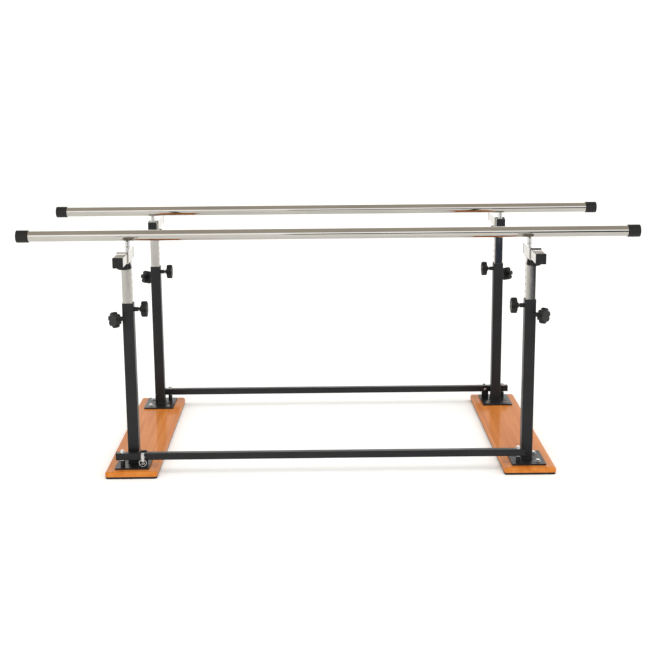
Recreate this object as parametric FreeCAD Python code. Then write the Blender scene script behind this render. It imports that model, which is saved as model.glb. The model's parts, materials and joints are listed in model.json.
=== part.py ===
"""Folding parallel bars on two timber base boards, adjustable in height and width.

Frame: millimetres, X along the handrails, Y across them, Z up, floor at Z = 0 and
the origin under the middle. Every post is named by two signs: side is -1 on the
left and +1 on the right, and end is -1 at the front and +1 at the rear.
"""

import FreeCAD, Part
import math
import os

# Layout
POST_X = 713.0
POST_Y = 396.0
RAIL_Y = 356.0
RAIL_Z = 855.0
ARM_Z = 794.0

# Base boards and mats
BOARD_WIDTH = 186.0
BOARD_LENGTH = 1004.0
BOARD_THICKNESS = 18.0
BOARD_CORNER = 10.0
BOARD_EDGE_RADIUS = 8.0
MAT_THICKNESS = 8.0
MAT_INSET = 2.0
BOARD_TOP = MAT_THICKNESS + BOARD_THICKNESS

# Foot plates and their fasteners
PLATE_X = 122.0
PLATE_Y = 158.0
PLATE_THICKNESS = 6.0
PLATE_CORNER = 3.0
PLATE_TOP = BOARD_TOP + PLATE_THICKNESS
CORNER_DX = 36.0
CORNER_DY = 48.0
BOLT_RADIUS = 4.0
BOLT_DEPTH = 20.0
BOLT_HEAD_AF = 13.0
BOLT_HEAD_HEIGHT = 5.5
BOLT_WASHER_RADIUS = 9.0
WASHER_THICKNESS = 1.5

# Posts and telescoping columns
POST_SIZE = 40.0
POST_WALL = 2.0
POST_TOP = 621.0
POST_CORNER = 3.0
POST_BORE_CORNER = 1.0
WELD_SIZE = 3.0
COLUMN_SIZE = 35.0
COLUMN_WALL = 2.0
COLUMN_CORNER = 3.0
COLUMN_BORE_CORNER = 1.5
COLUMN_BOTTOM = 251.0
INDEX_PITCH = 25.0
INDEX_COUNT = 14
INDEX_RADIUS = 4.5

# Sleeves and width arms
SLEEVE_SIZE = 42.0
SLEEVE_WALL = 3.0
SLEEVE_INNER_Y = 372.0
SLEEVE_OUTER_Y = 480.0
ARM_INNER_Y = 338.0
ARM_OUTER_Y = 590.0
PLUG_LIP = 0.5
PLUG_FLANGE = 3.0
PLUG_DEPTH = 8.0
PLUG_WALL = 2.0
PLUG_CORNER = 1.5

# Handrails
RAIL_LENGTH = 2200.0
RAIL_RADIUS = 19.0
RAIL_WALL = 1.5
FERRULE_RADIUS = 22.0
FERRULE_LENGTH = 44.0
FERRULE_END = 5.0
FERRULE_ROUND = 4.0
ROD_RADIUS = 8.0
ROD_HOLE_RADIUS = 8.5
ROD_WELD = 3.0
ROD_WASHER_RADIUS = 12.0
ROD_WASHER_THICKNESS = 2.0
ROD_SCREW_AF = 13.0
ROD_SCREW_HEIGHT = 5.0

# Crossbars, pivots and latch
CROSSBAR_SIZE = 25.0
CROSSBAR_WALL = 1.5
CROSSBAR_CORNER = 2.5
CROSSBAR_BORE_CORNER = 1.0
CROSSBAR_Y = POST_Y + CORNER_DY
CROSSBAR_Z = 68.0
CROSSBAR_OVERHANG = 21.0
CROSSBAR_PLUG_FLANGE = 2.0
CROSSBAR_PLUG_DEPTH = 10.0
PIVOT_RADIUS = 5.0
PIVOT_HOLE_RADIUS = 5.5
PIVOT_GAP = 0.5
PIVOT_BOSS_RADIUS = 8.5
PIVOT_WASHER_RADIUS = 10.0
PIVOT_HEAD_AF = 15.0
PIVOT_HEAD_HEIGHT = 4.0
PIVOT_DOME_RADIUS = 6.5
LATCH_DX = 39.0
LATCH_WIDTH = 28.0
LATCH_THICKNESS = 5.0
LATCH_TOP = 84.0
LATCH_GAP = 1.0
LATCH_FOOT = 30.0
LATCH_CORNER = 8.0
LATCH_HOLE_RADIUS = 7.25

# Quick-release pins and their rings
PIN_RADIUS = 5.0
PIN_HOLE_RADIUS = 5.5
PIN_REACH = 20.0
PIN_TIP = 1.5
PIN_COLLAR_RADIUS = 8.0
PIN_COLLAR_THICKNESS = 4.0
PIN_COLLAR_GAP = 0.5
GRIP_RADIUS = 6.5
GRIP_HEIGHT = 31.0
GRIP_ROUND = 3.0
RING_HOLE_DROP = 7.0
RING_HOLE_RADIUS = 3.6
RING_RADIUS = 13.0
RING_WIRE = 1.25

# Star knobs and their threaded bosses
STUD_RADIUS = 4.0
STUD_HOLE_RADIUS = 4.1
STUD_CLEARANCE = 0.6
BOSS_RADIUS = 8.0
SIDE_BOSS_LENGTH = 16.0
SIDE_KNOB_Z = 597.5
CORNER_BOSS_END = 39.5
CORNER_KNOB_Z = 567.5
KNOB_GAP = 3.5
KNOB_RADIUS = 28.5
KNOB_THICKNESS = 22.0
KNOB_LOBES = 6
KNOB_LOBE_SHARE = 0.3
KNOB_CORE_SHARE = 0.70
KNOB_ROUND = 5.0
HUB_RADIUS = 9.0
HUB_LENGTH = 6.5
ARM_KNOB_Y = 455.0
ARM_BOSS_LENGTH = 3.0
ARM_KNOB_GAP = 0.7
ARM_KNOB_RADIUS = 25.0
ARM_KNOB_THICKNESS = 17.5
ARM_HUB_LENGTH = 1.0

X_AXIS = FreeCAD.Vector(1, 0, 0)
Y_AXIS = FreeCAD.Vector(0, 1, 0)
Z_AXIS = FreeCAD.Vector(0, 0, 1)
SIDES = {-1: "left", 1: "right"}
ENDS = {-1: "front", 1: "rear"}


def vec(x, y, z):
    return FreeCAD.Vector(x, y, z)


def export(name, shapes):
    """Write one node: a single solid, or a group of them."""
    solid = shapes[0] if len(shapes) == 1 else Part.makeCompound(shapes)
    solid.exportStep("parts/" + name + ".step")


def cylinder(radius, start, direction, length):
    return Part.makeCylinder(radius, length, start, direction)


def block(x_size, y_size, z_size, centre_x, centre_y, bottom, corner=0.0):
    """A box centred in plan, with its four upright edges rounded."""
    corner_point = vec(centre_x - x_size / 2, centre_y - y_size / 2, bottom)
    solid = Part.makeBox(x_size, y_size, z_size, corner_point)
    if corner > 0:
        uprights = [edge for edge in solid.Edges if edge.BoundBox.ZLength > z_size / 2]
        solid = solid.makeFillet(corner, uprights)
    return solid


def square_tube(size, wall, length, corner, bore_corner):
    """A square tube standing on the origin."""
    outer = block(size, size, length, 0, 0, 0, corner)
    bore_size = size - 2 * wall
    return outer.cut(block(bore_size, bore_size, length, 0, 0, 0, bore_corner))


def lay(solid, start, direction):
    """Turn a shape built up the Z axis to point along direction from start."""
    placed = solid.copy()
    placed.Placement = FreeCAD.Placement(start, FreeCAD.Rotation(Z_AXIS, direction))
    return placed


def hexagon(across_flats, height, start, direction):
    corner_radius = across_flats / math.sqrt(3)
    points = [
        vec(corner_radius * math.cos(math.pi * k / 3), corner_radius * math.sin(math.pi * k / 3), 0)
        for k in range(7)
    ]
    prism = Part.Face(Part.makePolygon(points)).extrude(vec(0, 0, height))
    return lay(prism, start, direction)


def post_centre(side, end):
    return side * POST_X, end * POST_Y


def post_code(side, end):
    return ENDS[end] + "_" + SIDES[side]


def pivot_x(side, end):
    """The crossbar pivots sit beside the posts, so that a crossbar can swing past."""
    return side * POST_X + end * CORNER_DX


def pivot_boss_top():
    """The boss stops one washer and a running gap below the crossbar."""
    return CROSSBAR_Z - CROSSBAR_SIZE / 2 - PIVOT_GAP - WASHER_THICKNESS


def latch_x(end):
    """The latched corners are the front left and the rear right."""
    return end * (POST_X - LATCH_DX)


def has_latch(side, end):
    return side == end


def corner_bolt_positions(side, end):
    """The three foot-plate corners that carry a bolt: the fourth carries the pivot."""
    x, y = post_centre(side, end)
    inner_y = y - end * CORNER_DY
    outer_y = y + end * CORNER_DY
    outer_seat = PLATE_TOP + (LATCH_THICKNESS if has_latch(side, end) else 0)
    return [
        (x - CORNER_DX, inner_y, PLATE_TOP),
        (x + CORNER_DX, inner_y, PLATE_TOP),
        (x - end * CORNER_DX, outer_y, outer_seat),
    ]


def drill_down(solid, x, y, radius):
    return solid.cut(cylinder(radius, vec(x, y, PLATE_TOP - BOLT_DEPTH), Z_AXIS, LATCH_TOP))


def base_board(side):
    centre = side * POST_X
    board = block(
        BOARD_WIDTH, BOARD_LENGTH, BOARD_THICKNESS, centre, 0, MAT_THICKNESS, BOARD_CORNER
    )
    top_edges = [
        edge
        for edge in board.Edges
        if abs(edge.BoundBox.ZMin - BOARD_TOP) < 0.01 and edge.BoundBox.ZLength < 0.01
    ]
    board = board.makeFillet(BOARD_EDGE_RADIUS, top_edges)
    for end in ENDS:
        for x, y, seat in corner_bolt_positions(side, end):
            board = drill_down(board, x, y, BOLT_RADIUS)
        board = drill_down(board, pivot_x(side, end), end * CROSSBAR_Y, PIVOT_RADIUS)
    return board


def mat(side):
    width = BOARD_WIDTH - 2 * MAT_INSET
    length = BOARD_LENGTH - 2 * MAT_INSET
    corner = BOARD_CORNER - MAT_INSET
    return block(width, length, MAT_THICKNESS, side * POST_X, 0, 0, corner)


def foot_plate(side, end):
    x, y = post_centre(side, end)
    plate = block(PLATE_X, PLATE_Y, PLATE_THICKNESS, x, y, BOARD_TOP, PLATE_CORNER)
    for bolt_x, bolt_y, seat in corner_bolt_positions(side, end):
        plate = drill_down(plate, bolt_x, bolt_y, BOLT_RADIUS)
    boss_base = vec(pivot_x(side, end), end * CROSSBAR_Y, PLATE_TOP)
    boss = cylinder(PIVOT_BOSS_RADIUS, boss_base, Z_AXIS, pivot_boss_top() - PLATE_TOP)
    return drill_down(plate.fuse(boss), boss_base.x, boss_base.y, PIVOT_RADIUS)


def side_stud_axis(side, end):
    """Where the side knob's axis crosses the post's axis, and the way it points out."""
    x, y = post_centre(side, end)
    return vec(x, y, SIDE_KNOB_Z), vec(-side, 0, 0)


def corner_stud_axis(side, end):
    x, y = post_centre(side, end)
    return vec(x, y, CORNER_KNOB_Z), vec(side, end, 0).normalize()


def post(side, end):
    x, y = post_centre(side, end)
    height = POST_TOP - PLATE_TOP
    tube = square_tube(POST_SIZE, POST_WALL, height, POST_CORNER, POST_BORE_CORNER)
    weld_size = POST_SIZE + 2 * WELD_SIZE
    weld = block(weld_size, weld_size, WELD_SIZE, 0, 0, 0)
    weld_tops = [edge for edge in weld.Edges if edge.BoundBox.ZMin > WELD_SIZE / 2]
    weld = weld.makeChamfer(WELD_SIZE * 0.95, weld_tops)
    weld = weld.cut(block(POST_SIZE, POST_SIZE, WELD_SIZE, 0, 0, 0, POST_CORNER))
    solid = tube.fuse(weld)
    solid.translate(vec(x, y, PLATE_TOP))
    for centre, direction in (side_stud_axis(side, end), corner_stud_axis(side, end)):
        solid = solid.cut(cylinder(STUD_HOLE_RADIUS, centre, direction, POST_SIZE))
    return solid.removeSplitter()


def knob_bosses(side, end):
    """The threaded bosses welded to a post's inner face and to its outer corner."""
    x, y = post_centre(side, end)
    post_body = block(POST_SIZE, POST_SIZE, POST_TOP, x, y, 0, POST_CORNER)
    bosses = []
    for axis, reach in (
        (side_stud_axis(side, end), POST_SIZE / 2 + SIDE_BOSS_LENGTH),
        (corner_stud_axis(side, end), CORNER_BOSS_END),
    ):
        centre, direction = axis
        boss = cylinder(BOSS_RADIUS, centre, direction, reach)
        boss = boss.cut(cylinder(STUD_HOLE_RADIUS, centre, direction, reach))
        bosses.append(boss.cut(post_body))
    return bosses


def corner_bolt(x, y, seat):
    washer = cylinder(BOLT_WASHER_RADIUS, vec(x, y, seat), Z_AXIS, WASHER_THICKNESS)
    head_seat = seat + WASHER_THICKNESS
    head = hexagon(BOLT_HEAD_AF, BOLT_HEAD_HEIGHT, vec(x, y, head_seat), Z_AXIS)
    shank_bottom = PLATE_TOP - BOLT_DEPTH
    shank = cylinder(BOLT_RADIUS, vec(x, y, shank_bottom), Z_AXIS, head_seat - shank_bottom)
    return washer.fuse([head, shank]).removeSplitter()


def pivot_stud(side, end):
    """The pivot bolt with its two washers and domed head."""
    x = pivot_x(side, end)
    y = end * CROSSBAR_Y
    under = pivot_boss_top()
    over = CROSSBAR_Z + CROSSBAR_SIZE / 2 + PIVOT_GAP
    head_seat = over + WASHER_THICKNESS
    shank_bottom = PLATE_TOP - BOLT_DEPTH
    shank = cylinder(PIVOT_RADIUS, vec(x, y, shank_bottom), Z_AXIS, head_seat - shank_bottom)
    washers = [
        cylinder(PIVOT_WASHER_RADIUS, vec(x, y, height), Z_AXIS, WASHER_THICKNESS)
        for height in (under, over)
    ]
    head = hexagon(PIVOT_HEAD_AF, PIVOT_HEAD_HEIGHT, vec(x, y, head_seat), Z_AXIS)
    dome_seat = head_seat + PIVOT_HEAD_HEIGHT
    dome = Part.makeSphere(PIVOT_DOME_RADIUS, vec(x, y, dome_seat), Z_AXIS, 0, 90, 360)
    dome = dome.common(cylinder(PIVOT_DOME_RADIUS, vec(x, y, dome_seat), Z_AXIS, PIVOT_HEAD_HEIGHT))
    return shank.fuse([head, dome] + washers).removeSplitter()


def latch_bracket(end):
    """An angle bracket beside the post: the pin passes through its upright leg."""
    x = latch_x(end)
    crossbar_face = CROSSBAR_Y - CROSSBAR_SIZE / 2
    upright_y = end * (crossbar_face - LATCH_GAP - LATCH_THICKNESS / 2)
    height = LATCH_TOP - PLATE_TOP
    upright = block(LATCH_WIDTH, LATCH_THICKNESS, height, x, upright_y, PLATE_TOP)
    top_edges = [
        edge
        for edge in upright.Edges
        if edge.BoundBox.ZMin > LATCH_TOP - 0.01 and edge.BoundBox.YLength > LATCH_THICKNESS / 2
    ]
    upright = upright.makeFillet(LATCH_CORNER, top_edges)
    foot_y = end * (crossbar_face - LATCH_GAP - LATCH_THICKNESS + LATCH_FOOT / 2)
    foot = block(LATCH_WIDTH, LATCH_FOOT, LATCH_THICKNESS, x, foot_y, PLATE_TOP)
    bracket = upright.fuse(foot).removeSplitter()
    hole_start = vec(x, upright_y - LATCH_THICKNESS, CROSSBAR_Z)
    bracket = bracket.cut(cylinder(LATCH_HOLE_RADIUS, hole_start, Y_AXIS, 2 * LATCH_THICKNESS))
    bolt_x, bolt_y, seat = corner_bolt_positions(end, end)[2]
    return drill_down(bracket, bolt_x, bolt_y, BOLT_RADIUS)


def column(side, end):
    x, y = post_centre(side, end)
    top = ARM_Z - SLEEVE_SIZE / 2
    height = top - COLUMN_BOTTOM
    tube = square_tube(COLUMN_SIZE, COLUMN_WALL, height, COLUMN_CORNER, COLUMN_BORE_CORNER)
    tube.translate(vec(x, y, COLUMN_BOTTOM))
    face = vec(x - side * (COLUMN_SIZE / 2 - 2 * COLUMN_WALL), y, 0)
    outward = vec(-side, 0, 0)
    for k in range(INDEX_COUNT):
        level = SIDE_KNOB_Z + INDEX_PITCH * (k - INDEX_COUNT / 2)
        start = vec(face.x, face.y, level)
        tube = tube.cut(cylinder(INDEX_RADIUS, start, outward, 4 * COLUMN_WALL))
    return tube


def along_y(size, wall, inner_y, outer_y, side, end, corner, bore_corner):
    """A square tube lying across the rails on the arm's axis."""
    tube = square_tube(size, wall, outer_y - inner_y, corner, bore_corner)
    start = vec(side * POST_X, min(end * inner_y, end * outer_y), ARM_Z)
    return lay(tube, start, Y_AXIS)


def sleeve(side, end):
    tube = along_y(
        SLEEVE_SIZE, SLEEVE_WALL, SLEEVE_INNER_Y, SLEEVE_OUTER_Y, side, end, 4.0, POST_BORE_CORNER
    )
    bottom = ARM_Z - SLEEVE_SIZE / 2
    centre = vec(side * POST_X, end * ARM_KNOB_Y, bottom - ARM_BOSS_LENGTH)
    boss = cylinder(BOSS_RADIUS, centre, Z_AXIS, ARM_BOSS_LENGTH)
    solid = tube.fuse(boss)
    hole = cylinder(STUD_HOLE_RADIUS, centre, Z_AXIS, ARM_BOSS_LENGTH + 2 * SLEEVE_WALL)
    return solid.cut(hole).removeSplitter()


def arm(side, end):
    tube = along_y(
        COLUMN_SIZE,
        COLUMN_WALL,
        ARM_INNER_Y,
        ARM_OUTER_Y,
        side,
        end,
        COLUMN_CORNER,
        COLUMN_BORE_CORNER,
    )
    hole_start = vec(side * POST_X, end * RAIL_Y, ARM_Z - COLUMN_SIZE)
    return tube.cut(cylinder(ROD_HOLE_RADIUS, hole_start, Z_AXIS, 2 * COLUMN_SIZE))


def tube_plug(size, wall, flange, depth):
    """A push-in end plug on the origin: its flange is below Z = 0, its skirt above."""
    skirt_size = size - 2 * wall
    skirt = block(skirt_size, skirt_size, depth, 0, 0, 0, PLUG_CORNER)
    hollow_size = skirt_size - 2 * PLUG_WALL
    skirt = skirt.cut(block(hollow_size, hollow_size, depth, 0, 0, 0))
    cap_size = size + 2 * PLUG_LIP
    cap = block(cap_size, cap_size, flange, 0, 0, -flange, PLUG_CORNER)
    outer_edges = [edge for edge in cap.Edges if edge.BoundBox.ZMax < -flange + 0.01]
    cap = cap.makeFillet(flange / 3, outer_edges)
    return cap.fuse(skirt).removeSplitter()


def arm_plugs(side, end):
    plug = tube_plug(COLUMN_SIZE, COLUMN_WALL, PLUG_FLANGE, PLUG_DEPTH)
    inner = lay(plug, vec(side * POST_X, end * ARM_INNER_Y, ARM_Z), vec(0, end, 0))
    outer = lay(plug, vec(side * POST_X, end * ARM_OUTER_Y, ARM_Z), vec(0, -end, 0))
    return [inner, outer]


def rail(end):
    start = vec(-RAIL_LENGTH / 2, end * RAIL_Y, RAIL_Z)
    tube = cylinder(RAIL_RADIUS, start, X_AXIS, RAIL_LENGTH)
    return tube.cut(cylinder(RAIL_RADIUS - RAIL_WALL, start, X_AXIS, RAIL_LENGTH))


def ferrules(end):
    """Rubber cups pushed over both ends of a rail."""
    cup = cylinder(FERRULE_RADIUS, vec(0, 0, -FERRULE_END), Z_AXIS, FERRULE_LENGTH)
    outer_edges = [edge for edge in cup.Edges if edge.BoundBox.ZMax < 0]
    cup = cup.makeFillet(FERRULE_ROUND, outer_edges)
    cup = cup.cut(cylinder(RAIL_RADIUS, vec(0, 0, 0), Z_AXIS, FERRULE_LENGTH))
    return [
        lay(cup, vec(side * RAIL_LENGTH / 2, end * RAIL_Y, RAIL_Z), vec(-side, 0, 0))
        for side in SIDES
    ]


def rail_rod(side, end):
    """The upright rod welded under a rail, with its retaining washer and screw."""
    x = side * POST_X
    y = end * RAIL_Y
    bottom = ARM_Z - COLUMN_SIZE / 2 - 1.0
    rod = cylinder(ROD_RADIUS, vec(x, y, bottom), Z_AXIS, RAIL_Z - bottom)
    weld_height = RAIL_RADIUS + ROD_WELD
    weld_start = vec(x, y, RAIL_Z - weld_height)
    weld = Part.makeCone(ROD_RADIUS, ROD_RADIUS + ROD_WELD, 2 * ROD_WELD, weld_start, Z_AXIS)
    washer_bottom = bottom - ROD_WASHER_THICKNESS
    washer = cylinder(ROD_WASHER_RADIUS, vec(x, y, washer_bottom), Z_AXIS, ROD_WASHER_THICKNESS)
    screw_bottom = washer_bottom - ROD_SCREW_HEIGHT
    screw = hexagon(ROD_SCREW_AF, ROD_SCREW_HEIGHT, vec(x, y, screw_bottom), Z_AXIS)
    solid = rod.fuse([weld, washer, screw])
    tube_body = cylinder(RAIL_RADIUS, vec(x - BOARD_WIDTH, y, RAIL_Z), X_AXIS, 2 * BOARD_WIDTH)
    return solid.cut(tube_body).removeSplitter()


def crossbar(end):
    length = 2 * (POST_X + CROSSBAR_OVERHANG)
    tube = square_tube(
        CROSSBAR_SIZE, CROSSBAR_WALL, length, CROSSBAR_CORNER, CROSSBAR_BORE_CORNER
    )
    start = vec(pivot_x(-1, end) - CROSSBAR_OVERHANG, end * CROSSBAR_Y, CROSSBAR_Z)
    tube = lay(tube, start, X_AXIS)
    for side in SIDES:
        hole_start = vec(pivot_x(side, end), end * CROSSBAR_Y, CROSSBAR_Z - CROSSBAR_SIZE)
        tube = tube.cut(cylinder(PIVOT_HOLE_RADIUS, hole_start, Z_AXIS, 2 * CROSSBAR_SIZE))
    pin_start = vec(latch_x(end), end * CROSSBAR_Y - CROSSBAR_SIZE, CROSSBAR_Z)
    return tube.cut(cylinder(PIN_HOLE_RADIUS, pin_start, Y_AXIS, 2 * CROSSBAR_SIZE))


def crossbar_plugs(end):
    plug = tube_plug(CROSSBAR_SIZE, CROSSBAR_WALL, CROSSBAR_PLUG_FLANGE, CROSSBAR_PLUG_DEPTH)
    plugs = []
    for side in SIDES:
        x = pivot_x(side, end) + side * CROSSBAR_OVERHANG
        plugs.append(lay(plug, vec(x, end * CROSSBAR_Y, CROSSBAR_Z), vec(-side, 0, 0)))
    return plugs


def grip_y(end):
    face = CROSSBAR_Y + CROSSBAR_SIZE / 2 + PIN_COLLAR_GAP
    return end * (face + PIN_COLLAR_THICKNESS + GRIP_RADIUS - GRIP_ROUND / 2)


def quick_pin(end):
    x = latch_x(end)
    outward = vec(0, end, 0)
    tip_y = end * (CROSSBAR_Y - PIN_REACH)
    collar_y = end * (CROSSBAR_Y + CROSSBAR_SIZE / 2 + PIN_COLLAR_GAP)
    shank = cylinder(PIN_RADIUS, vec(x, tip_y, CROSSBAR_Z), outward, abs(collar_y - tip_y) + 1)
    tip_edges = [edge for edge in shank.Edges if abs(edge.BoundBox.Center.y - tip_y) < 0.01]
    shank = shank.makeChamfer(PIN_TIP, tip_edges)
    collar_start = vec(x, collar_y, CROSSBAR_Z)
    collar = cylinder(PIN_COLLAR_RADIUS, collar_start, outward, PIN_COLLAR_THICKNESS)
    bottom = CROSSBAR_Z - GRIP_HEIGHT / 2
    grip = cylinder(GRIP_RADIUS, vec(x, grip_y(end), bottom), Z_AXIS, GRIP_HEIGHT)
    grip = grip.makeFillet(GRIP_ROUND, [edge for edge in grip.Edges if edge.BoundBox.ZLength < 0.01])
    pin = shank.fuse([collar, grip])
    hole_start = vec(x - 2 * GRIP_RADIUS, grip_y(end), CROSSBAR_Z - RING_HOLE_DROP)
    return pin.cut(cylinder(RING_HOLE_RADIUS, hole_start, X_AXIS, 4 * GRIP_RADIUS)).removeSplitter()


def pull_ring(end):
    x = latch_x(end)
    centre = vec(x, grip_y(end), CROSSBAR_Z - RING_HOLE_DROP - RING_RADIUS)
    return Part.makeTorus(RING_RADIUS, RING_WIRE, centre, Y_AXIS)


def star_knob(radius, thickness, hub_length, stud_length):
    """A lobed knob on the Z axis: the stud ends at Z = 0 and the head is at the top."""
    hub_start = stud_length
    head_start = hub_start + hub_length
    lobe_radius = radius * KNOB_LOBE_SHARE
    outline = [cylinder(radius * KNOB_CORE_SHARE, vec(0, 0, head_start), Z_AXIS, thickness)]
    for k in range(KNOB_LOBES):
        angle = 2 * math.pi * k / KNOB_LOBES
        reach = radius - lobe_radius
        centre = vec(reach * math.cos(angle), reach * math.sin(angle), head_start)
        outline.append(cylinder(lobe_radius, centre, Z_AXIS, thickness))
    star = outline[0].fuse(outline[1:]).removeSplitter()
    turned = cylinder(radius, vec(0, 0, head_start), Z_AXIS, thickness)
    rims = [edge for edge in turned.Edges if edge.BoundBox.ZLength < 0.01]
    turned = turned.makeFillet(KNOB_ROUND, rims)
    head = star.common(turned)
    hub = cylinder(HUB_RADIUS, vec(0, 0, hub_start), Z_AXIS, hub_length + KNOB_ROUND)
    stud = cylinder(STUD_RADIUS, vec(0, 0, 0), Z_AXIS, head_start + KNOB_ROUND)
    return head.fuse([hub, stud]).removeSplitter()


def side_knob(side, end):
    centre, direction = side_stud_axis(side, end)
    tip = COLUMN_SIZE / 2 + STUD_CLEARANCE
    stud_length = POST_SIZE / 2 + SIDE_BOSS_LENGTH + KNOB_GAP - tip
    knob = star_knob(KNOB_RADIUS, KNOB_THICKNESS, HUB_LENGTH, stud_length)
    return lay(knob, centre + direction * tip, direction)


def corner_knob(side, end):
    centre, direction = corner_stud_axis(side, end)
    column_corner = COLUMN_SIZE / math.sqrt(2) - COLUMN_CORNER * (math.sqrt(2) - 1)
    tip = column_corner + STUD_CLEARANCE
    stud_length = CORNER_BOSS_END + KNOB_GAP - tip
    knob = star_knob(KNOB_RADIUS, KNOB_THICKNESS, HUB_LENGTH, stud_length)
    return lay(knob, centre + direction * tip, direction)


def arm_knob(side, end):
    tip_z = ARM_Z - COLUMN_SIZE / 2 - STUD_CLEARANCE
    boss_z = ARM_Z - SLEEVE_SIZE / 2 - ARM_BOSS_LENGTH
    stud_length = tip_z - boss_z + ARM_KNOB_GAP
    knob = star_knob(ARM_KNOB_RADIUS, ARM_KNOB_THICKNESS, ARM_HUB_LENGTH, stud_length)
    return lay(knob, vec(side * POST_X, end * ARM_KNOB_Y, tip_z), vec(0, 0, -1))


def export_base(side):
    """Everything that stays fixed to one base board."""
    name = SIDES[side]
    export(name + "_board", [base_board(side)])
    export(name + "_mat", [mat(side)])
    export(name + "_foot_plates", [foot_plate(side, end) for end in ENDS])
    bolts = []
    bosses = []
    for end in ENDS:
        export(post_code(side, end) + "_post", [post(side, end)])
        bosses += knob_bosses(side, end)
        bolts += [corner_bolt(x, y, seat) for x, y, seat in corner_bolt_positions(side, end)]
    export(name + "_knob_bosses", bosses)
    export(name + "_plate_bolts", bolts)
    export(name + "_pivot_studs", [pivot_stud(side, end) for end in ENDS])
    export(name + "_latch_bracket", [latch_bracket(side)])


def export_post_top(side, end):
    """The height column, the width arm and the three knobs of one post."""
    code = post_code(side, end)
    export(code + "_column", [column(side, end)])
    export(code + "_sleeve", [sleeve(side, end)])
    export(code + "_arm", [arm(side, end)])
    export(code + "_arm_plugs", arm_plugs(side, end))
    export(code + "_side_knob", [side_knob(side, end)])
    export(code + "_corner_knob", [corner_knob(side, end)])
    export(code + "_arm_knob", [arm_knob(side, end)])


def export_span(end):
    """The rail, crossbar and pin that join the two bases at one end."""
    name = ENDS[end]
    export(name + "_rail", [rail(end)])
    export(name + "_rail_ferrules", ferrules(end))
    export(name + "_rail_rods", [rail_rod(side, end) for side in SIDES])
    export(name + "_crossbar", [crossbar(end)])
    export(name + "_crossbar_plugs", crossbar_plugs(end))
    export(name + "_quick_pin", [quick_pin(end)])
    export(name + "_pull_ring", [pull_ring(end)])


os.makedirs("parts", exist_ok=True)
for side in SIDES:
    export_base(side)
    for end in ENDS:
        export_post_top(side, end)
for end in ENDS:
    export_span(end)
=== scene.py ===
import json
import math

import bpy
from mathutils import Matrix, Vector

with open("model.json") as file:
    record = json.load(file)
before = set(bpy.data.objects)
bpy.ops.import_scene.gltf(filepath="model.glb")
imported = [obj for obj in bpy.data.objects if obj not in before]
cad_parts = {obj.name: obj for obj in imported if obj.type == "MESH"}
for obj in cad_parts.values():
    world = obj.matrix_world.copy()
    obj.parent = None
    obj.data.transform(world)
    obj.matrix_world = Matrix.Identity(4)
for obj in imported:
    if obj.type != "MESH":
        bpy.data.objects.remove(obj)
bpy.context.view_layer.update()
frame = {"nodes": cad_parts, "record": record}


# ---------------------------------------------------------------- node helpers

BEVEL_SAMPLES = 4
FLAT_COSINE = 0.99
EDGE_COSINE = 0.90


def set_stops(ramp, stops):
    """Gives a colour ramp its (position, colour) stops."""
    while len(ramp.elements) < len(stops):
        ramp.elements.new(0.5)
    for element, (position, colour) in zip(ramp.elements, stops):
        element.position = position
        element.color = (*colour, 1.0)


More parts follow.
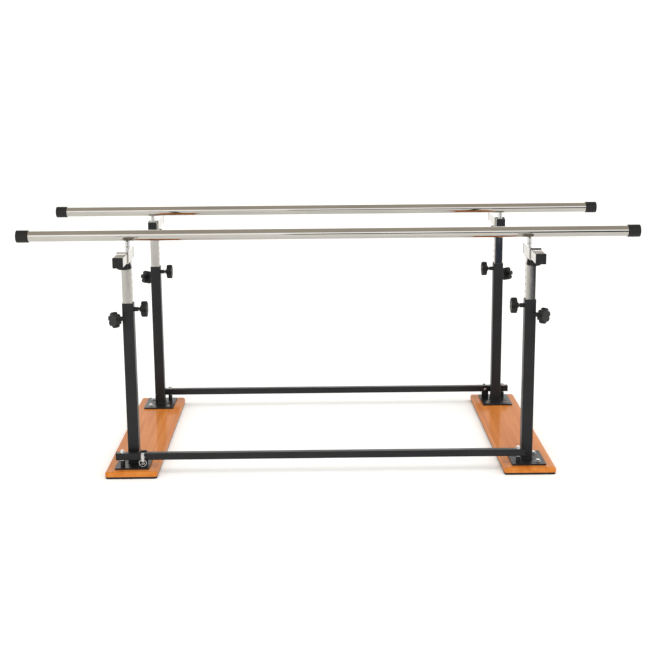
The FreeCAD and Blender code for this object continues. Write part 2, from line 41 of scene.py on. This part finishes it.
class Nodes:
    """A short way to write a procedural material: most methods add one node."""

    def __init__(self, name):
        self.material = bpy.data.materials.new(name)
        self.material.use_nodes = True
        self.tree = self.material.node_tree
        self.tree.nodes.clear()
        self.shader = self.tree.nodes.new("ShaderNodeBsdfPrincipled")
        output = self.tree.nodes.new("ShaderNodeOutputMaterial")
        self.tree.links.new(self.shader.outputs["BSDF"], output.inputs["Surface"])
        self.place = self.tree.nodes.new("ShaderNodeTexCoord").outputs["Object"]

    def connect(self, value, socket):
        """Links a node's output to the socket, or sets the socket to a plain value."""
        if isinstance(value, bpy.types.NodeSocket):
            self.tree.links.new(value, socket)
        else:
            socket.default_value = value

    def add(self, kind, inputs, **settings):
        node = self.tree.nodes.new(kind)
        for key, value in settings.items():
            setattr(node, key, value)
        for key, value in inputs.items():
            self.connect(value, node.inputs[key])
        return node

    def stretched(self, scale):
        """The piece's own coordinates, multiplied by scale along each axis."""
        inputs = {"Vector": self.place, "Scale": scale}
        return self.add("ShaderNodeMapping", inputs).outputs["Vector"]

    def noise(self, vector, scale=1.0, detail=4.0, roughness=0.5, distortion=0.0):
        inputs = {"Vector": vector, "Scale": scale, "Detail": detail, "Roughness": roughness,
                  "Distortion": distortion}
        return self.add("ShaderNodeTexNoise", inputs).outputs["Fac"]

    def cells(self, vector, scale, feature="F1"):
        node = self.add("ShaderNodeTexVoronoi", {"Vector": vector, "Scale": scale}, feature=feature)
        return node.outputs["Distance"]

    def spread(self, value, low, high, to_low=0.0, to_high=1.0):
        """Maps low to to_low and high to to_high, and holds still beyond them."""
        inputs = {"Value": value, "From Min": low, "From Max": high, "To Min": to_low,
                  "To Max": to_high}
        return self.add("ShaderNodeMapRange", inputs, clamp=True).outputs["Result"]

    def math(self, operation, first, second):
        node = self.add("ShaderNodeMath", {0: first, 1: second}, operation=operation)
        return node.outputs["Value"]

    def ramp(self, value, stops):
        node = self.add("ShaderNodeValToRGB", {"Fac": value})
        set_stops(node.color_ramp, stops)
        return node.outputs["Color"]

    def mix(self, factor, first, second):
        """Blends from the first colour to the second as the factor goes from 0 to 1."""
        node = self.tree.nodes.new("ShaderNodeMix")
        node.data_type = "RGBA"
        self.connect(factor, node.inputs[0])
        for colour, socket in ((first, node.inputs[6]), (second, node.inputs[7])):
            self.connect((*colour, 1.0) if isinstance(colour, tuple) else colour, socket)
        return node.outputs[2]

    def edges(self, radius):
        """1 along the piece's edges and 0 on its flats."""
        bevel = self.add("ShaderNodeBevel", {"Radius": radius}, samples=BEVEL_SAMPLES)
        surface = self.add("ShaderNodeNewGeometry", {})
        normals = {0: bevel.outputs["Normal"], 1: surface.outputs["Normal"]}
        cosine = self.add("ShaderNodeVectorMath", normals, operation="DOT_PRODUCT")
        return self.spread(cosine.outputs["Value"], FLAT_COSINE, EDGE_COSINE)

    def bump(self, heights):
        """Stacks several (height, strength, distance) bumps."""
        normal = None
        for height, strength, distance in heights:
            inputs = {"Height": height, "Strength": strength, "Distance": distance}
            if normal is not None:
                inputs["Normal"] = normal
            normal = self.add("ShaderNodeBump", inputs).outputs["Normal"]
        self.tree.links.new(normal, self.shader.inputs["Normal"])

    def finish(self, **sockets):
        """Fills the shader's sockets, so that coat_ior fills "Coat IOR", and gives the material."""
        for key, value in sockets.items():
            name = key.replace("_", " ").title().replace("Ior", "IOR")
            self.connect(value, self.shader.inputs[name])
        return self.material


# ------------------------------------------------------------------- materials
# Noise and cell scales are per metre, edge widths and bump distances are in metres.

BLACK_SPECULAR = 0.26
POLISHING_LINES = 900.0
ALONG_TUBE = 3.0
SMEAR_SCALE = 20.0


def powder_coat():
    """Black powder coat: orange-peel texture, faint clouding and paler rubbed edges."""
    dark, light, worn = (0.007, 0.007, 0.0078), (0.013, 0.013, 0.0145), (0.07, 0.07, 0.075)
    nodes = Nodes("black_powder_coat")
    cloud = nodes.noise(nodes.place, 9.0, detail=5.0, roughness=0.6)
    peel = nodes.cells(nodes.place, 900.0, "SMOOTH_F1")
    grit = nodes.noise(nodes.place, 1800.0, detail=2.0)
    wear = nodes.spread(nodes.noise(nodes.place, 60.0, detail=6.0), 0.45, 0.62)
    rubbed = nodes.math("MULTIPLY", nodes.edges(0.0012), wear)
    coat = nodes.ramp(cloud, ((0.3, dark), (0.7, light)))
    colour = nodes.mix(nodes.math("MULTIPLY", rubbed, 0.3), coat, worn)
    roughness = nodes.spread(cloud, 0.3, 0.7, to_low=0.34, to_high=0.46)
    nodes.bump(((peel, 0.20, 0.0004), (grit, 0.10, 0.0002)))
    return nodes.finish(base_color=colour, roughness=roughness, specular_ior_level=BLACK_SPECULAR)


def polished_steel(run, grain):
    """Polished tube: mirror-bright, with fine polishing lines along it and faint smears."""
    dull, bright = (0.43, 0.415, 0.385), (0.51, 0.495, 0.465)
    nodes = Nodes("polished_steel_" + run)
    lines = nodes.noise(nodes.stretched(grain), detail=3.0)
    smear_grain = [min(scale, SMEAR_SCALE) for scale in grain]
    smear = nodes.noise(nodes.stretched(smear_grain), detail=6.0, roughness=0.6)
    colour = nodes.ramp(smear, ((0.3, dull), (0.7, bright)))
    roughness = nodes.spread(smear, 0.35, 0.75, to_low=0.02, to_high=0.09)
    nodes.bump(((lines, 0.02, 0.0001),))
    return nodes.finish(base_color=colour, metallic=1.0, roughness=roughness)


def zinc_plate():
    """Bright zinc plating: fine turned rings up the piece, and a little clouding."""
    dull, bright = (0.46, 0.46, 0.47), (0.64, 0.64, 0.63)
    nodes = Nodes("bright_zinc")
    cloud = nodes.noise(nodes.place, 120.0, detail=5.0, roughness=0.6)
    turning = nodes.noise(nodes.stretched((300.0, 300.0, 2600.0)), detail=2.0)
    colour = nodes.ramp(cloud, ((0.3, dull), (0.7, bright)))
    roughness = nodes.spread(cloud, 0.3, 0.7, to_low=0.14, to_high=0.26)
    nodes.bump(((turning, 0.08, 0.0002),))
    return nodes.finish(base_color=colour, metallic=1.0, roughness=roughness)


def moulded_plastic():
    """Moulded nylon: spark-eroded grain, and paler edges polished by hands."""
    dark, light, handled = (0.006, 0.006, 0.0065), (0.012, 0.012, 0.013), (0.05, 0.05, 0.052)
    nodes = Nodes("black_nylon")
    grain = nodes.cells(nodes.place, 1500.0, "SMOOTH_F1")
    cloud = nodes.noise(nodes.place, 40.0)
    edge = nodes.edges(0.002)
    shell = nodes.ramp(cloud, ((0.3, dark), (0.7, light)))
    colour = nodes.mix(nodes.math("MULTIPLY", edge, 0.2), shell, handled)
    matt = nodes.spread(cloud, 0.3, 0.7, to_low=0.46, to_high=0.58)
    roughness = nodes.math("SUBTRACT", matt, nodes.math("MULTIPLY", edge, 0.12))
    nodes.bump(((grain, 0.18, 0.0003),))
    return nodes.finish(base_color=colour, roughness=roughness, specular_ior_level=BLACK_SPECULAR)


def moulded_rubber():
    """Black rubber: matt, with fine pores and a trace of pale dust."""
    black, dusty = (0.008, 0.008, 0.008), (0.035, 0.034, 0.032)
    nodes = Nodes("black_rubber")
    pores = nodes.cells(nodes.place, 1100.0)
    dust = nodes.spread(nodes.noise(nodes.place, 26.0, detail=7.0, roughness=0.65), 0.5, 0.8)
    colour = nodes.mix(nodes.math("MULTIPLY", dust, 0.3), black, dusty)
    roughness = nodes.spread(dust, 0.0, 1.0, to_low=0.55, to_high=0.72)
    nodes.bump(((pores, 0.15, 0.0003),))
    return nodes.finish(base_color=colour, roughness=roughness, specular_ior_level=0.3)


def lacquered_timber():
    """Orange pine: streaks, fibres and pores along Y, under a thin glossy lacquer."""
    pale, mid = (0.62, 0.225, 0.048), (0.53, 0.168, 0.024)
    deep, pore = (0.39, 0.102, 0.011), (0.30, 0.075, 0.010)
    nodes = Nodes("lacquered_pine")
    streaks = nodes.noise(nodes.stretched((42.0, 0.7, 42.0)), roughness=0.55, distortion=0.4)
    fibre = nodes.noise(nodes.stretched((420.0, 7.0, 420.0)), roughness=0.6)
    pores = nodes.noise(nodes.stretched((900.0, 22.0, 900.0)), detail=2.0)
    patch = nodes.noise(nodes.stretched((7.0, 1.6, 7.0)))
    colour = nodes.ramp(streaks, ((0.32, pale), (0.52, mid), (0.70, deep)))
    colour = nodes.mix(nodes.spread(fibre, 0.3, 0.7, to_high=0.4), colour, deep)
    colour = nodes.mix(nodes.spread(patch, 0.35, 0.7, to_high=0.45), colour, pale)
    colour = nodes.mix(nodes.spread(pores, 0.62, 0.72, to_high=0.4), colour, pore)
    roughness = nodes.spread(fibre, 0.3, 0.7, to_low=0.40, to_high=0.50)
    nodes.bump(((fibre, 0.04, 0.0003), (pores, 0.05, 0.0003)))
    return nodes.finish(base_color=colour, roughness=roughness, specular_ior_level=0.06,
                        coat_weight=0.13, coat_roughness=0.05, coat_ior=1.5)


def dress(node, material):
    slots = frame["nodes"][node].data.materials
    if not len(slots):
        slots.append(material)
    for index in range(len(slots)):
        slots[index] = material


# A polished tube's finish goes by the last word of its node's name, any other by its slot.
TUBE_FINISHES = {
    "rail": polished_steel("along_x", (ALONG_TUBE, POLISHING_LINES, POLISHING_LINES)),
    "arm": polished_steel("along_y", (POLISHING_LINES, ALONG_TUBE, POLISHING_LINES)),
    "column": polished_steel("along_z", (POLISHING_LINES, POLISHING_LINES, ALONG_TUBE)),
}
TUBE_FINISHES["sleeve"] = TUBE_FINISHES["arm"]
FINISHES = {
    "black_steel": powder_coat(),
    "zinc_steel": zinc_plate(),
    "black_plastic": moulded_plastic(),
    "rubber": moulded_rubber(),
    "timber": lacquered_timber(),
}
for part in frame["record"]["subparts"]:
    if part["material_slot"] == "polished_steel":
        dress(part["node"], TUBE_FINISHES[part["node"].split("_")[-1]])
    else:
        dress(part["node"], FINISHES[part["material_slot"]])


# ---------------------------------------------------------------- set and light

FLOOR_RADIUS = 60.0
FLOOR_SIDES = 128
FLOOR_COLOUR = (0.96, 0.96, 0.96)
CARD_COLOUR = (0.02, 0.03, 0.055)
MATT = 0.9

# Left, right and top edges, and depth, of each dark card, in metres.
FLAGS = {
    "right_flag": (1.158, 2.2, 0.8, -3.0),
    "left_flag": (-1.108, -1.098, 0.8, -3.0),
    "far_left_flag": (-1.158, -1.146, 0.8, -3.0),
    "room_behind_camera": (-0.3, 3.2, 1.9, -6.5),
}

# Direction of the light, strength, and width in degrees.
SUN_COLOUR = (0.93, 0.97, 1.0)
SUNS = {
    "key": ((0.10, 0.50, -1.0), 0.75, 40.0),
    "fill": ((-0.5, 0.25, -1.0), 0.65, 60.0),
}

# The room's colour by the sine of the height above the horizon.
WORLD_STRENGTH = 1.9
SKY_STOPS = (
    (0.00, (0.58, 0.58, 0.57)),
    (0.10, (0.62, 0.62, 0.61)),
    (0.16, (1.0, 1.0, 0.99)),
    (0.42, (1.0, 0.99, 0.98)),
    (0.50, (0.50, 0.49, 0.47)),
    (0.64, (0.46, 0.44, 0.41)),
    (0.69, (0.10, 0.10, 0.10)),
    (0.76, (0.33, 0.30, 0.26)),
    (1.00, (0.32, 0.285, 0.24)),
)


def studio_floor():
    bpy.ops.mesh.primitive_circle_add(vertices=FLOOR_SIDES, radius=FLOOR_RADIUS, fill_type="NGON")
    floor = bpy.context.object
    floor.name = "studio_floor"
    nodes = Nodes("pale_floor")
    paint = nodes.finish(base_color=(*FLOOR_COLOUR, 1.0), roughness=MATT, specular_ior_level=0.0)
    floor.data.materials.append(paint)


def studio_world():
    """A pale room: a bright band round the walls, a dark cornice and a taupe ceiling."""
    world = bpy.data.worlds.new("studio")
    bpy.context.scene.world = world
    world.use_nodes = True
    tree = world.node_tree
    background = tree.nodes["Background"]
    direction = tree.nodes.new("ShaderNodeTexCoord").outputs["Generated"]
    split = tree.nodes.new("ShaderNodeSeparateXYZ")
    sky = tree.nodes.new("ShaderNodeValToRGB")
    set_stops(sky.color_ramp, SKY_STOPS)
    tree.links.new(direction, split.inputs["Vector"])
    tree.links.new(split.outputs["Z"], sky.inputs["Fac"])
    tree.links.new(sky.outputs["Color"], background.inputs["Color"])
    background.inputs["Strength"].default_value = WORLD_STRENGTH


def sun(name, direction, strength, spread):
    """A soft sun that lights the object but doesn't show in its gloss."""
    data = bpy.data.lights.new(name, "SUN")
    data.energy = strength
    data.angle = math.radians(spread)
    data.color = SUN_COLOUR
    light = bpy.data.objects.new(name, data)
    light.rotation_mode = "QUATERNION"
    light.rotation_quaternion = Vector(direction).to_track_quat("-Z", "Y")
    light.visible_glossy = False
    bpy.context.collection.objects.link(light)


def dark_card(name, left, right, top, y):
    """A standing blue-black card that only mirrors and gloss see, as a flag beside a camera."""
    corners = [(left, y, 0.0), (right, y, 0.0), (right, y, top), (left, y, top)]
    mesh = bpy.data.meshes.new(name)
    mesh.from_pydata(corners, [], [(0, 1, 2, 3)])
    card = bpy.data.objects.new(name, mesh)
    bpy.context.collection.objects.link(card)
    nodes = Nodes(name + "_paint")
    mesh.materials.append(nodes.finish(base_color=(*CARD_COLOUR, 1.0), roughness=MATT))
    card.visible_camera = False
    card.visible_shadow = False
    card.visible_diffuse = False


def studio_lights():
    for name, (direction, strength, spread) in SUNS.items():
        sun(name, direction, strength, spread)
    for name, (left, right, top, y) in FLAGS.items():
        dark_card(name, left, right, top, y)


# --------------------------------------------------------------------- camera

FOCAL_LENGTH = 69.23
SENSOR_WIDTH = 36.0
FARTHEST_SEEN = 200.0
CAMERA_PLACE = (-0.0463, -4.7512, 1.4663)
CAMERA_PITCH = math.radians(12.1)
CAMERA_TURN = math.radians(0.4)
CAMERA_ROLL = math.radians(0.5)


def photo_camera():
    forward = Vector((math.sin(CAMERA_TURN) * math.cos(CAMERA_PITCH),
                      math.cos(CAMERA_TURN) * math.cos(CAMERA_PITCH),
                      -math.sin(CAMERA_PITCH)))
    right = forward.cross(Vector((0, 0, 1))).normalized()
    up = right.cross(forward)
    rolled_right = math.cos(CAMERA_ROLL) * right - math.sin(CAMERA_ROLL) * up
    rolled_up = math.sin(CAMERA_ROLL) * right + math.cos(CAMERA_ROLL) * up
    data = bpy.data.cameras.new("camera")
    data.lens = FOCAL_LENGTH
    data.sensor_width = SENSOR_WIDTH
    data.clip_end = FARTHEST_SEEN
    camera = bpy.data.objects.new("camera", data)
    axes = Matrix((rolled_right, rolled_up, -forward)).transposed()
    camera.matrix_world = Matrix.Translation(CAMERA_PLACE) @ axes.to_4x4()
    bpy.context.collection.objects.link(camera)
    bpy.context.scene.camera = camera


photo_camera()
studio_floor()
studio_world()
studio_lights()
bpy.context.scene.view_settings.view_transform = "Standard"
